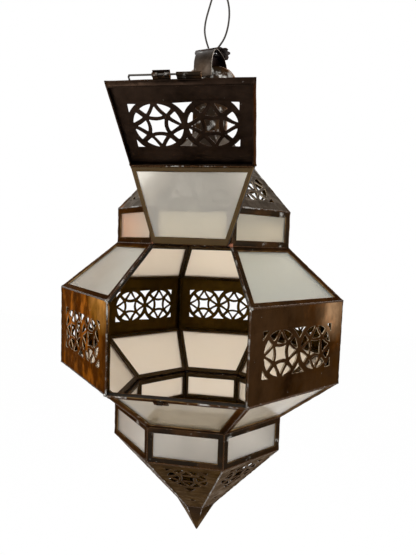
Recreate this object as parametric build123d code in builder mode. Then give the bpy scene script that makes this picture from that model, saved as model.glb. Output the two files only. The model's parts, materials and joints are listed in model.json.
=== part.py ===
from build123d import *
from math import atan2, cos, degrees, hypot, radians, sin, tan
import os

# An octagonal lantern of soldered tin sheet and frosted glass that hangs from a wire loop.
# Origin: the underside of the wire loop's top, where a hook carries it. +Z is up, and the
# door is at the front, -Y. The door is modelled shut and then swung open, as it rests.

os.makedirs("parts", exist_ok=True)

# ---------------------------------------------------------------- driving dimensions (mm)
SIDES = 8
DRUM_SIDE = 130.0          # side of the wide middle drum
NARROW_SIDE = 82.0         # side of the upper and lower glass drums
NECK_SIDE = 16.8           # side of the octagonal neck
TIP_SIDE = 20.0            # side of the plain cap at the bottom

ROOF_TOP_Z = -167.0        # heights of the rings, down from the hook
EAVE_Z = -260.5
HINGE_Z = -300.0
DRUM_TOP_Z = -353.0
DRUM_BOTTOM_Z = -441.0
LOWER_DRUM_TOP_Z = -494.0
LOWER_DRUM_BOTTOM_Z = -533.0
TIP_CAP_Z = -626.0
TIP_Z = -672.0

WALL = 5.0                 # depth of a glazing came, and of a sheet panel's folded flange
CAME_WIDTH = 6.0           # width of a came on the face
PANE = 3.0                 # glass thickness
SHEET = 1.2                # tinned sheet of the pierced panels
FLANGE = 1.5               # folded and soldered flange round a sheet panel
DOOR_GAP = 0.5             # gap above and below the shut door
DOOR_SIDE_GAP = 1.8        # gap at each side of it
DOOR_OPEN = 128.8          # degrees the door is swung open at rest

UNIT_PITCH = 49.2          # pierced pattern: spacing of its two circles
FIELD_HALF_H = 23.2        # half height of the pierced field on the drum

ROLL_SIDES = 12            # sheet rolled by hand round a wire comes out faceted
HINGE_PIN_R = 1.1
KNUCKLE_R = 2.0
HINGE_OFFSET = 2.3         # pin centre, off the face of the drum and off the shut door
WIRE_R = 0.8               # latch bolt wire
BOLT_DROP = 3.4            # bolt centre below the shut door's edge
GUIDE_R = 1.7

CROWN_TURN = -12.6         # the strap's arch is turned this far from the door's front
STRAP_WIDTH = 22.0
STRAP = 1.2
STRAP_TOP_Z = -70.5
STRAP_HALF_SPAN = 29.8
LOOP_WIRE_R = 1.1
LOOP_HOLE_X = 3.4          # half spacing of the two holes that the loop passes through
LOOP_HOLE_R = 2.8

DOME_TOP_Z = -93.5
DOME_BRIM_Z = -110.0
DOME_APOTHEM = STRAP_HALF_SPAN - STRAP
NIPPLE_R = 5.0
NIPPLE_BORE_R = 4.0
HOLDER_TOP_Z = -178.0
HOLDER_R = 19.5
SOCKET_R = 13.3            # mouth of the screw lampholder
SOCKET_DEPTH = 30.0

# ---------------------------------------------------------------- outline of the body
HALF = radians(180 / SIDES)


def apothem(side):
    """Distance from the axis to the flat of a ring whose side is given."""
    return side / (2 * tan(HALF))


NECK_A, TIP_A = apothem(NECK_SIDE), apothem(TIP_SIDE)
NARROW_A, DRUM_A = apothem(NARROW_SIDE), apothem(DRUM_SIDE)

# Outer face in a half section: (distance from the axis, height), from the roof's top down.
RINGS = [
    (NECK_A, ROOF_TOP_Z),
    (NARROW_A, EAVE_Z),
    (NARROW_A, HINGE_Z),
    (DRUM_A, DRUM_TOP_Z),
    (DRUM_A, DRUM_BOTTOM_Z),
    (NARROW_A, LOWER_DRUM_TOP_Z),
    (NARROW_A, LOWER_DRUM_BOTTOM_Z),
    (TIP_A, TIP_CAP_Z),
]
ROOF, UPPER_DRUM, SHOULDER, DRUM, LOWER_SLOPE, LOWER_DRUM, TIP = range(7)


def run(row):
    """Unit direction down a row's face and its length, in the half section."""
    (ra, za), (rb, zb) = RINGS[row], RINGS[row + 1]
    length = hypot(rb - ra, zb - za)
    return (rb - ra) / length, (zb - za) / length, length


def mitre(ring):
    """Inward shift of a ring's corner for each millimetre of wall depth."""
    normals = [(-run(row)[1], run(row)[0]) for row in (ring - 1, ring) if 0 <= row < TIP + 1]
    if len(normals) == 1:                       # the first and last rings are cut level
        return -1 / normals[0][0], 0.0
    (ar, az), (br, bz) = normals
    scale = -1 / (1 + ar * br + az * bz)
    return (ar + br) * scale, (az + bz) * scale


def corner(ring, depth, row, end_gap):
    """Section corner (y, z) of a front panel at a wall depth, drawn back along its row."""
    (r, z), (mr, mz), (dr, dz, _) = RINGS[ring], mitre(ring), run(row)
    step = end_gap if ring == row else -end_gap
    return -(r + mr * depth + dr * step), z + mz * depth + dz * step


def slab(row, start, end, end_gap=0.0, side_gap=0.0):
    """Front panel of a row, from wall depth start to end, mitred to its neighbours."""
    section = [corner(ring, depth, row, end_gap)
               for ring, depth in ((row, start), (row + 1, start), (row + 1, end), (row, end))]
    with BuildPart() as panel:
        with BuildSketch(Plane.YZ):
            with BuildLine():
                Polyline(*section, close=True)
            make_face()
        extrude(amount=DRUM_SIDE, both=True)
        for side in (-1, 1):
            flank = Plane((0, 0, 0), z_dir=(side * cos(HALF), sin(HALF), 0))
            split(bisect_by=flank.offset(-side_gap), keep=Keep.BOTTOM)
    return panel.part


def face_plane(row):
    """Plane of a front panel's outer face: origin mid lower edge, y up the slope."""
    dr, dz, _ = run(row)
    r, z = RINGS[row + 1]
    return Plane((0, -r, z), x_dir=(1, 0, 0), z_dir=(0, dz, dr))


def outline(row, inset):
    """Draws a row's face outline, drawn in by inset, into the sketch that is open."""
    upper, lower = RINGS[row][0] * tan(HALF), RINGS[row + 1][0] * tan(HALF)
    length = run(row)[2]
    Polygon((-lower, 0), (lower, 0), (upper, length), (-upper, length), align=None)
    offset(amount=-inset, kind=Kind.INTERSECTION, mode=Mode.REPLACE)


def glazed(row, width=CAME_WIDTH, gaps=(0.0, 0.0)):
    """A came frame and the pane in it, for one face of a row."""
    face = face_plane(row)
    with BuildPart() as came:
        add(slab(row, 0, WALL, *gaps))
        with BuildSketch(face):
            outline(row, width)
        extrude(amount=-2 * WALL, mode=Mode.SUBTRACT)
    with BuildPart() as pane:
        with BuildSketch(face.offset(-(WALL - PANE) / 2)):
            outline(row, width)
        extrude(amount=-PANE)
    return came.part, pane.part


def pierced(row, pattern, pattern_y, gaps=(0.0, 0.0)):
    """A sheet tray with folded flanges, pierced with a pattern centred at pattern_y."""
    face = face_plane(row)
    inner_gaps = [gap + FLANGE for gap in gaps]
    with BuildPart() as tray:
        add(slab(row, 0, WALL, *gaps))
        add(slab(row, SHEET, WALL + 1, *inner_gaps), mode=Mode.SUBTRACT)
        with BuildSketch(face):
            with Locations((0, pattern_y)):
                add(pattern)
        extrude(amount=-2 * SHEET, mode=Mode.SUBTRACT)
    return tray.part


def frustum(sides, base, top):
    """A many-sided block that narrows from a base level to a top level, (apothem, height) each."""
    (base_a, base_z), (top_a, top_z) = base, top
    height = abs(top_z - base_z)
    with BuildPart() as block:
        with BuildSketch(Plane.XY.offset(base_z)):
            RegularPolygon(radius=base_a, side_count=sides, major_radius=False,
                           rotation=180 / sides)
        extrude(amount=height, taper=degrees(atan2(base_a - top_a, height)))
    if top_z < base_z:
        return block.part.mirror(Plane.XY.offset(base_z))
    return block.part


def ring_of(part, label, first=0, last=SIDES - 1):
    """Copies of a front panel round the axis, as one node of separate solids."""
    copies = [part.rotate(Axis.Z, index * 360 / SIDES) for index in range(first, last + 1)]
    return Compound(label=label, children=copies)


def save(shape, label):
    shape.label = label
    export_step(shape, f"parts/{label}.step")


# ---------------------------------------------------------------- the pierced pattern
# One unit is a ring with four shallow arcs from point to point of the compass, which meet a
# bowed square at its corners. What is chiselled out is a square, four petals and eight leaves.
SQUARE = 5.9
PETAL = [(0, 20.2), (-6.2, 9.9), (6.2, 9.9)]
LEAF = [(2.2, 22.3), (8.2, 12.9), (13.4, 18.2)]
CORNER_HOLE = [(24.4, FIELD_HALF_H), (15.6, FIELD_HALF_H), (24.4, 15.0)]
MIDDLE_HOLE = [(-8.4, FIELD_HALF_H), (0, 13.6), (8.4, FIELD_HALF_H)]


def mirrored(points):
    return [(-x, y) for x, y in reversed(points)]


with BuildSketch() as unit:
    Rectangle(2 * SQUARE, 2 * SQUARE)
    with PolarLocations(0, 4):
        Polygon(*PETAL, align=None)
        Polygon(*LEAF, align=None)
        Polygon(*mirrored(LEAF), align=None)

with BuildSketch() as drum_pattern:
    with Locations((-UNIT_PITCH / 2, 0), (UNIT_PITCH / 2, 0)):
        add(unit.sketch)
    for turn in (0, 180):
        with Locations(Location((0, 0, 0), (0, 0, turn))):
            Polygon(*MIDDLE_HOLE, align=None)
            for side in (-1, 1):
                hole = [(side * (x + UNIT_PITCH / 2), y) for x, y in CORNER_HOLE]
                Polygon(*hole, align=None)

GABLE_Y = 26.5                     # the triangle above a circle on the roof and the tip
with BuildSketch() as roof_pattern:
    add(unit.sketch)
    Polygon((-24, -23.2), (-15.5, -23.2), (-22, -15.5), align=None)
    Polygon((24, -23.2), (22, -15.5), (15.5, -23.2), align=None)
    Polygon((-9.5, GABLE_Y), (9.5, GABLE_Y), (0, GABLE_Y + 8), align=None)
    Polygon((-5.5, GABLE_Y + 10.5), (5.5, GABLE_Y + 10.5), (0, GABLE_Y + 21), align=None)

with BuildSketch() as tip_pattern:
    add(unit.sketch)
    Polygon((-24, 23.2), (-22, 15.5), (-15.5, 23.2), align=None)
    Polygon((24, 23.2), (15.5, 23.2), (22, 15.5), align=None)
    Polygon((-7.0, -GABLE_Y), (0, -GABLE_Y - 10), (7.0, -GABLE_Y), align=None)
    with Locations((0, -63.5)):
        RegularPolygon(radius=2.6, side_count=6)

# ---------------------------------------------------------------- the eight-sided body
roof_panel = pierced(ROOF, roof_pattern.sketch, 35.5)
drum_panel = pierced(DRUM, drum_pattern.sketch, (DRUM_TOP_Z - DRUM_BOTTOM_Z) / 2)
tip_panel = pierced(TIP, tip_pattern.sketch, run(TIP)[2] - 34.0)

for index in range(SIDES):
    turn = index * 360 / SIDES
    save(roof_panel.rotate(Axis.Z, turn), f"roof_panel_{index + 1}")
    save(tip_panel.rotate(Axis.Z, turn), f"tip_panel_{index + 1}")
    if index > 0:
        save(drum_panel.rotate(Axis.Z, turn), f"drum_panel_{index + 1}")

for row, name, first in (
    (UPPER_DRUM, "upper_drum", 0),
    (SHOULDER, "shoulder", 1),          # the front one is the door's
    (LOWER_SLOPE, "lower_slope", 0),
    (LOWER_DRUM, "lower_drum", 0),
):
    came, pane = glazed(row)
    save(ring_of(came, f"{name}_cames", first), f"{name}_cames")
    save(ring_of(pane, f"{name}_panes", first), f"{name}_panes")

# The plain pointed cap: an eight-sided pyramid of sheet with a blunt point.
TIP_BLUNT_A = 0.9
with BuildPart() as tip_cap:
    add(frustum(SIDES, (TIP_A, TIP_CAP_Z), (TIP_BLUNT_A, TIP_Z)))
    add(frustum(SIDES, (TIP_A - 2 * SHEET, TIP_CAP_Z), (TIP_BLUNT_A, TIP_Z + 5)),
        mode=Mode.SUBTRACT)
save(tip_cap.part, "tip_cap")

# ---------------------------------------------------------------- neck and crown
with BuildPart() as neck:
    with BuildSketch(Plane.XY.offset(ROOF_TOP_Z)):
        RegularPolygon(radius=NECK_A, side_count=SIDES, major_radius=False,
                       rotation=180 / SIDES)
        RegularPolygon(radius=NECK_A - SHEET, side_count=SIDES, major_radius=False,
                       rotation=180 / SIDES, mode=Mode.SUBTRACT)
    extrude(amount=DOME_TOP_Z - SHEET - ROOF_TOP_Z)
save(neck.part, "neck")

# The dome cap is beaten to twelve facets; one flat faces each leg of the strap.
DOME_FACETS = 12
DOME_SECTION = [(0.0, DOME_BRIM_Z), (0.0, -102.0), (1.6, -97.0), (5.2, DOME_TOP_Z)]
with BuildPart() as dome_cap:
    for depth, mode in ((0.0, Mode.ADD), (SHEET, Mode.SUBTRACT)):
        levels = [(DOME_APOTHEM - inset - depth, z if z == DOME_BRIM_Z else z - depth)
                  for inset, z in DOME_SECTION]
        for base, top in zip(levels, levels[1:]):
            add(frustum(DOME_FACETS, base, top), mode=mode)
    with Locations((0, 0, DOME_TOP_Z)):
        Hole(NIPPLE_R)
save(dome_cap.part.rotate(Axis.Z, CROWN_TURN), "dome_cap")

# The strap's arch, beaten over in facets: (distance from the axis, drop from its top).
ARCH = [(7.5, 0.0), (15.0, 1.6), (21.5, 5.8), (26.5, 12.3), (29.2, 19.5), (29.8, 27.0)]


def arch_band(thickness_out, thickness_in, foot_drop):
    """Section of sheet over the arch, as points (y, z), between two offsets from it."""
    half = [(0.0, 0.0)] + ARCH + ([(STRAP_HALF_SPAN, foot_drop)] if foot_drop else [])
    sides = []
    for thickness in (thickness_out, -thickness_in):
        points = []
        for index, (y, drop) in enumerate(half):
            before = half[max(index - 1, 0)]
            after = half[min(index + 1, len(half) - 1)]
            slopes = [(b[0] - a[0], b[1] - a[1]) for a, b in ((before, (y, drop)), ((y, drop), after))
                      if a != b]
            normals = [(v / hypot(u, v), u / hypot(u, v)) for u, v in slopes]
            (ay, az), (by, bz) = normals[0], normals[-1]
            scale = thickness / (1 + ay * by + az * bz)
            points.append((y + (ay + by) * scale, STRAP_TOP_Z - drop + (az + bz) * scale))
        sides.append(points)
    outer, inner = sides
    whole = [(-y, z) for y, z in reversed(outer[1:])] + outer
    under = [(-y, z) for y, z in reversed(inner[1:])] + inner
    return whole + list(reversed(under))


with BuildPart() as crown_strap:
    with BuildSketch(Plane.YZ):
        Polygon(*arch_band(0, STRAP, STRAP_TOP_Z - DOME_BRIM_Z - 2), align=None)
    extrude(amount=STRAP_WIDTH / 2, both=True)
    with BuildSketch(Plane.XY.offset(STRAP_TOP_Z)):
        with Locations((-LOOP_HOLE_X, 0), (LOOP_HOLE_X, 0)):
            RegularPolygon(radius=LOOP_HOLE_R, side_count=SIDES, major_radius=False)
    extrude(amount=2 * STRAP, both=True, mode=Mode.SUBTRACT)
save(crown_strap.part.rotate(Axis.Z, CROWN_TURN), "crown_strap")

# The rosette: a scalloped disc of thin sheet beaten down over the strap.
ROSETTE_SHEET = 0.8
ROSETTE_R, ROSETTE_VALLEY_R, ROSETTE_LOBES = 21.5, 19.0, 12
with BuildPart() as crown_rosette:
    with BuildSketch(Plane.YZ):
        Polygon(*arch_band(ROSETTE_SHEET, 0, 0), align=None)
    extrude(amount=ROSETTE_R, both=True)
    with BuildSketch(Plane.XY.offset(STRAP_TOP_Z - 12)):
        scallop = []
        for lobe in range(ROSETTE_LOBES):
            for part_turn, radius in ((0, ROSETTE_VALLEY_R), (1 / 3, ROSETTE_R), (2 / 3, ROSETTE_R)):
                angle = radians((lobe + part_turn) * 360 / ROSETTE_LOBES)
                scallop.append((radius * cos(angle), radius * sin(angle)))
        Polygon(*scallop, align=None)
    extrude(amount=20, mode=Mode.INTERSECT)
    with BuildSketch(Plane.XY.offset(STRAP_TOP_Z)):
        with Locations((-LOOP_HOLE_X, 0), (LOOP_HOLE_X, 0)):
            RegularPolygon(radius=LOOP_HOLE_R, side_count=SIDES, major_radius=False)
    extrude(amount=2 * STRAP, both=True, mode=Mode.SUBTRACT)
save(crown_rosette.part.rotate(Axis.Z, CROWN_TURN), "crown_rosette")

# The wire loop: both ends pass down through the strap and are bent out under it.
LOOP_PIVOT_Z = STRAP_TOP_Z - STRAP - LOOP_WIRE_R - 0.2
LOOP_SIDE = [
    (-LOOP_HOLE_X - 4.0, LOOP_PIVOT_Z),
    (-LOOP_HOLE_X, LOOP_PIVOT_Z),
    (-LOOP_HOLE_X, -68.0),
    (-8.0, -56.5),
    (-10.8, -46.0),
    (-11.0, -38.0),
    (-9.4, -28.5),
    (-5.8, -17.0),
    (-2.4, -6.0),
    (1.0, 0.4),
    (6.5, LOOP_WIRE_R),
    (12.6, -3.0),
    (17.2, -12.0),
    (19.6, -23.0),
    (19.8, -34.0),
    (18.2, -45.0),
    (14.8, -55.0),
    (9.6, -62.0),
    (LOOP_HOLE_X, -68.0),
    (LOOP_HOLE_X, LOOP_PIVOT_Z),
    (LOOP_HOLE_X + 4.0, LOOP_PIVOT_Z),
]
with BuildPart() as hanging_loop:
    with BuildLine(Plane.XZ) as loop_path:
        Polyline(*LOOP_SIDE)
    with BuildSketch(Plane(loop_path.line @ 0, z_dir=loop_path.line % 0)):
        RegularPolygon(radius=LOOP_WIRE_R, side_count=6)
    sweep(transition=Transition.RIGHT)
save(hanging_loop.part.rotate(Axis.Z, CROWN_TURN), "hanging_loop")

# ---------------------------------------------------------------- lampholder on its nipple
NIPPLE_TOP_Z = DOME_TOP_Z + 5
NIPPLE_BOTTOM_Z = HOLDER_TOP_Z - 10
with BuildPart() as cable_nipple:
    with BuildSketch(Plane.XY.offset(NIPPLE_BOTTOM_Z)):
        Circle(NIPPLE_R)
        Circle(NIPPLE_BORE_R, mode=Mode.SUBTRACT)
    extrude(amount=NIPPLE_TOP_Z - NIPPLE_BOTTOM_Z)
save(cable_nipple.part, "cable_nipple")

NUT = 3.0
NUT_FLATS = 14.0
nuts = []
for bottom in (DOME_TOP_Z, DOME_TOP_Z - SHEET - NUT, HOLDER_TOP_Z):
    with BuildPart() as nut:
        with BuildSketch(Plane.XY.offset(bottom)):
            RegularPolygon(radius=NUT_FLATS / 2, side_count=6, major_radius=False)
            RegularPolygon(radius=NIPPLE_R, side_count=ROLL_SIDES, major_radius=False,
                           mode=Mode.SUBTRACT)
        extrude(amount=NUT)
    nuts.append(nut.part)
save(Compound(label="nipple_nuts", children=nuts), "nipple_nuts")

HOLDER_CAP = 14.0
HOLDER_LENGTH = 44.0
HOLDER_SIDES = 12
with BuildPart() as lampholder_cap:
    add(frustum(HOLDER_SIDES, (HOLDER_R, HOLDER_TOP_Z - HOLDER_CAP), (HOLDER_R / 2, HOLDER_TOP_Z)))
    with Locations((0, 0, HOLDER_TOP_Z)):
        Hole(NIPPLE_R, depth=NIPPLE_R * 2)
save(lampholder_cap.part, "lampholder_cap")

MOUTH_Z = HOLDER_TOP_Z - HOLDER_CAP - HOLDER_LENGTH
with BuildPart() as lampholder_body:
    with BuildSketch(Plane.XY.offset(MOUTH_Z)):
        RegularPolygon(radius=HOLDER_R, side_count=HOLDER_SIDES, major_radius=False,
                       rotation=180 / HOLDER_SIDES)
    extrude(amount=HOLDER_LENGTH)
    with BuildSketch(Plane.XY.offset(MOUTH_Z)):
        Circle(SOCKET_R)
    extrude(amount=SOCKET_DEPTH, mode=Mode.SUBTRACT)
save(lampholder_body.part, "lampholder_body")

# ---------------------------------------------------------------- the door and its hinge
out_r, out_z = mitre(SHOULDER)
HINGE = Axis((0, -(NARROW_A - out_r * HINGE_OFFSET), HINGE_Z - out_z * HINGE_OFFSET), (1, 0, 0))
HINGE_Y, PIN_Z = HINGE.position.Y, HINGE.position.Z


def swung(part):
    """A piece of the shut door, swung open about the hinge pin."""
    return part.rotate(HINGE, -DOOR_OPEN)


DOOR_GAPS = (DOOR_GAP, DOOR_SIDE_GAP)
door_came, door_pane = glazed(SHOULDER, CAME_WIDTH + DOOR_SIDE_GAP - DOOR_GAP, DOOR_GAPS)
save(swung(door_came), "door_came")
save(swung(door_pane), "door_pane")
door_panel = pierced(DRUM, drum_pattern.sketch, (DRUM_TOP_Z - DRUM_BOTTOM_Z) / 2, DOOR_GAPS)
save(swung(door_panel), "door_panel")

# Knuckles are rolled from strip: a leaf soldered flat on a came, and the roll round the pin.
LEAF_SHEET = 0.8
LEAF_LENGTH = 5.5


def knuckle(x_from, x_to, bore, plane):
    """A knuckle with its leaf on a plane whose y runs away from the roll, z outward."""
    with BuildPart() as rolled:
        with BuildSketch(Plane((x_from, HINGE_Y, PIN_Z), x_dir=(0, 1, 0), z_dir=(1, 0, 0))):
            RegularPolygon(radius=KNUCKLE_R, side_count=ROLL_SIDES)
        extrude(amount=x_to - x_from)
        with BuildSketch(plane):
            with Locations(((x_from + x_to) / 2, LEAF_LENGTH / 2)):
                Rectangle(x_to - x_from, LEAF_LENGTH)
        extrude(amount=LEAF_SHEET)
        with BuildSketch(Plane((x_from, HINGE_Y, PIN_Z), x_dir=(0, 1, 0), z_dir=(1, 0, 0))):
            Circle(bore)
        extrude(amount=x_to - x_from, mode=Mode.SUBTRACT)
    return rolled.part


# The drum's leaf runs up the drum's face, the door's leaf down the shoulder's face.
drum_leaf = Plane((0, -NARROW_A, PIN_Z), x_dir=(1, 0, 0), z_dir=(0, -1, 0))
dr, dz, _ = run(SHOULDER)
foot = (PIN_Z - HINGE_Z) * dz + (-HINGE_Y - NARROW_A) * dr
shoulder_leaf = Plane((0, -NARROW_A - dr * foot, HINGE_Z + dz * foot),
                      x_dir=(-1, 0, 0), z_dir=(0, dz, dr))
KNUCKLE_SPANS = ((-37.0, -23.0), (-22.5, 22.5), (23.0, 37.0))
outer_knuckles = [knuckle(*KNUCKLE_SPANS[index], HINGE_PIN_R, drum_leaf) for index in (0, 2)]
save(Compound(label="hinge_leaves_drum", children=outer_knuckles), "hinge_leaves_drum")
save(swung(knuckle(*KNUCKLE_SPANS[1], HINGE_PIN_R + 0.05, shoulder_leaf)), "hinge_leaf_door")

PIN_END = 40.0
with BuildPart() as hinge_pin:
    with BuildSketch(Plane((-PIN_END, HINGE_Y, PIN_Z), x_dir=(0, 1, 0), z_dir=(1, 0, 0))):
        Circle(HINGE_PIN_R)
    extrude(amount=2 * PIN_END)
    with BuildSketch(Plane((PIN_END, HINGE_Y, PIN_Z), x_dir=(0, 1, 0), z_dir=(1, 0, 0))):
        RegularPolygon(radius=KNUCKLE_R + 0.2, side_count=8)
    extrude(amount=2.5)
save(hinge_pin.part, "hinge_pin")

# ---------------------------------------------------------------- the latch
# A wire bolt slides along the door's free edge in two rolled guides, through the keeper's eye.
BOLT_Y = -DRUM_A - LEAF_SHEET / 2
BOLT_Z = DRUM_BOTTOM_Z + DOOR_GAP - BOLT_DROP
BOLT_LEFT, BOLT_RIGHT = -41.0, 1.0
EAR_SPANS = ((-21.0, -16.4), (-10.6, -6.5))
LONG_GUIDE = (-1.0, 19.0)
GUIDE_TOP_Z = DRUM_BOTTOM_Z + 9.0
HOOD = 2.5                         # clear depth of the hood, from the bolt's line outward


def across(x):
    """Plane across the door's free edge at x, its x along +Y."""
    return Plane((x, BOLT_Y, BOLT_Z), x_dir=(0, 1, 0), z_dir=(1, 0, 0))


def guide(rolls):
    """A strip on the shut door's face, rolled under its edge into the given spans."""
    left, right = rolls[0][0], rolls[-1][1]
    with BuildPart() as strip:
        with BuildSketch(Plane.XY.offset(DRUM_BOTTOM_Z + DOOR_GAP)):
            with Locations(((left + right) / 2, BOLT_Y)):
                Rectangle(right - left, LEAF_SHEET)
        extrude(amount=GUIDE_TOP_Z - DRUM_BOTTOM_Z - DOOR_GAP)
        for span_left, span_right in rolls:
            with BuildSketch(across(span_left)):
                RegularPolygon(radius=GUIDE_R, side_count=ROLL_SIDES)
                with Locations((0, BOLT_DROP / 2)):
                    Rectangle(LEAF_SHEET, BOLT_DROP)
            extrude(amount=span_right - span_left)
            with BuildSketch(across(span_left)):
                Circle(WIRE_R + 0.05)
            extrude(amount=span_right - span_left, mode=Mode.SUBTRACT)
        if len(rolls) > 1:                   # bent out into a hood over the keeper's eye
            rise = BOLT_DROP + 2.4
            near, far = -HOOD, -HOOD - LEAF_SHEET
            with BuildSketch(across(left)):
                Polygon((-LEAF_SHEET / 2, rise), (far, BOLT_DROP - 0.4), (far, -GUIDE_R - 0.3),
                        (near, -GUIDE_R - 0.3), (near, BOLT_DROP - 0.7),
                        (-LEAF_SHEET / 2, rise - 1.1), align=None)
            extrude(amount=right - left)
    return strip.part


guides = [swung(guide(EAR_SPANS)), swung(guide((LONG_GUIDE,)))]
save(Compound(label="bolt_guides", children=guides), "bolt_guides")

# The bolt's thumb end is bent up over the door's face.
THUMB_Y = -DRUM_A - WIRE_R - 0.3
with BuildPart() as latch_bolt:
    with BuildLine() as bolt_path:
        Polyline((BOLT_RIGHT, BOLT_Y, BOLT_Z), (BOLT_LEFT + 1, BOLT_Y, BOLT_Z),
                 (BOLT_LEFT, (BOLT_Y + THUMB_Y) / 2, BOLT_Z + 1.6),
                 (BOLT_LEFT, THUMB_Y, BOLT_Z + 4.1), (BOLT_LEFT, THUMB_Y, BOLT_Z + 10.5))
    with BuildSketch(Plane(bolt_path.line @ 0, z_dir=bolt_path.line % 0)):
        RegularPolygon(radius=WIRE_R, side_count=8)
    sweep(transition=Transition.RIGHT)
save(swung(latch_bolt.part), "latch_bolt")

# The keeper: a plate soldered on the sill below the door, with an eye for the bolt.
KEEPER_MID = -13.5
KEEPER_WIDTH, EYE_WIDTH = 14.0, 5.0
EYE_BORE_R = 1.2
sill_length = run(LOWER_SLOPE)[2]
sill = face_plane(LOWER_SLOPE)
with BuildPart() as sill_keeper:
    with BuildSketch(sill):
        with Locations((KEEPER_MID, sill_length - 7.0)):
            Rectangle(KEEPER_WIDTH, 6.0)
    extrude(amount=LEAF_SHEET)
    with BuildSketch(sill):
        with Locations((KEEPER_MID, sill_length - 3.0)):
            Rectangle(EYE_WIDTH, 4.0)
    extrude(amount=2 * LEAF_SHEET)
    with BuildSketch(across(KEEPER_MID - EYE_WIDTH / 2)):
        RegularPolygon(radius=GUIDE_R, side_count=ROLL_SIDES)
    extrude(amount=EYE_WIDTH)
    with BuildSketch(across(KEEPER_MID - EYE_WIDTH / 2)):
        Circle(EYE_BORE_R)
    extrude(amount=EYE_WIDTH, mode=Mode.SUBTRACT)
save(sill_keeper.part, "sill_keeper")
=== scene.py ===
"""Dresses the octagonal pierced lantern: panels, cames, panes, solder, crown, loop and latch."""
import json
import math
import random

import bpy
from bpy.props import FloatProperty, FloatVectorProperty, IntProperty, PointerProperty
from mathutils import Matrix, Vector, noise


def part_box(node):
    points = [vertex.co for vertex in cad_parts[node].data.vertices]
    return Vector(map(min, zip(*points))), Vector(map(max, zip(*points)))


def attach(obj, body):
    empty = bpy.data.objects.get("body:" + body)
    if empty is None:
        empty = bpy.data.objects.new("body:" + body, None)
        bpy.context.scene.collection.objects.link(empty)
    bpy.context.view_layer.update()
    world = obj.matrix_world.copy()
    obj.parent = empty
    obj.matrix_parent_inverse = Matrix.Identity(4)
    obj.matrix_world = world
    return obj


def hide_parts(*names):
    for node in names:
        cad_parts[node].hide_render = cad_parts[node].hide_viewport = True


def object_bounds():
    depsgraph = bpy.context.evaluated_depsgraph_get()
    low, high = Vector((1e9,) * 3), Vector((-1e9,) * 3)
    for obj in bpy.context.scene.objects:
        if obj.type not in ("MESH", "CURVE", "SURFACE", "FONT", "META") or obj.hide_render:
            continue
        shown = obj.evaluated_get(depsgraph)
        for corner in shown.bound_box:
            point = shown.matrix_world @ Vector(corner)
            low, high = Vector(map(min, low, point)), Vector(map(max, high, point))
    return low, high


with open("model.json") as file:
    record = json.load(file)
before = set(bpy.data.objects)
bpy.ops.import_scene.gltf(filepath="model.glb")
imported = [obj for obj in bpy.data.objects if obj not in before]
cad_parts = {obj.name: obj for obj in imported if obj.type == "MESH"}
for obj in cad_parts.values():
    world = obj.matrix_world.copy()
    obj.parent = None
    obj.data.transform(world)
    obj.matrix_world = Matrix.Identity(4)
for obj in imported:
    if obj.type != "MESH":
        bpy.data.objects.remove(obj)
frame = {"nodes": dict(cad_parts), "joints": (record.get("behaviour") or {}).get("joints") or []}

CAD_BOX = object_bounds()

bl_info = {
    "name": "Pierced Octagonal Lantern",
    "version": (1, 0, 0),
    "blender": (4, 5, 0),
    "location": "View3D > Sidebar > Lantern",
    "description": "Builds the finished surfaces of a soldered tin and frosted glass lantern",
    "category": "Object",
}

SIDES = 8
TURN = math.tau / SIDES
ROOF, UPPER_DRUM, SHOULDER, DRUM, LOWER_SLOPE, LOWER_DRUM, TIP = range(7)
BODY, DOOR, LOOP = "lantern_body", "door", "hanging_loop"
MM = 0.001

BACK_PANEL_LOW, BACK_PANEL_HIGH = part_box("drum_panel_5")
BACK_ROOF_LOW, BACK_ROOF_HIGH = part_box("roof_panel_5")
NECK_LOW, NECK_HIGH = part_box("neck")
TIP_LOW, TIP_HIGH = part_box("tip_cap")
LATCH_SPAN = (-45.0 * MM, 21.5 * MM)        # the shut door's latch hangs over the sill here
DOOR_SIDE_GAP = 1.95 * MM                   # gap at each side of the shut door
DOOR_INSET = 0.5 * MM                       # gap round the door's came and panel
SEAM_INSET = {"sheet": 0.2 * MM, "came": 0.15 * MM}     # gap under the solder of a seam
SHEET_WARP = ((0.35 * MM, 26 * MM), (0.22 * MM, 5 * MM))    # unevenness, as (shift, grain)
CAME_WARP, CAME_WARP_AT_HINGE, CAME_GRAIN = 0.22 * MM, 0.08 * MM, 30 * MM
SUNK = 0.45 * MM                            # how deep a bead of solder lies in its corner
HINGE = next(joint for joint in frame["joints"] if joint["name"] == "door_hinge")


def side_of(across_flats):
    """Side of a regular octagon from its width across flats."""
    return across_flats * math.tan(TURN / 2)


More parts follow.
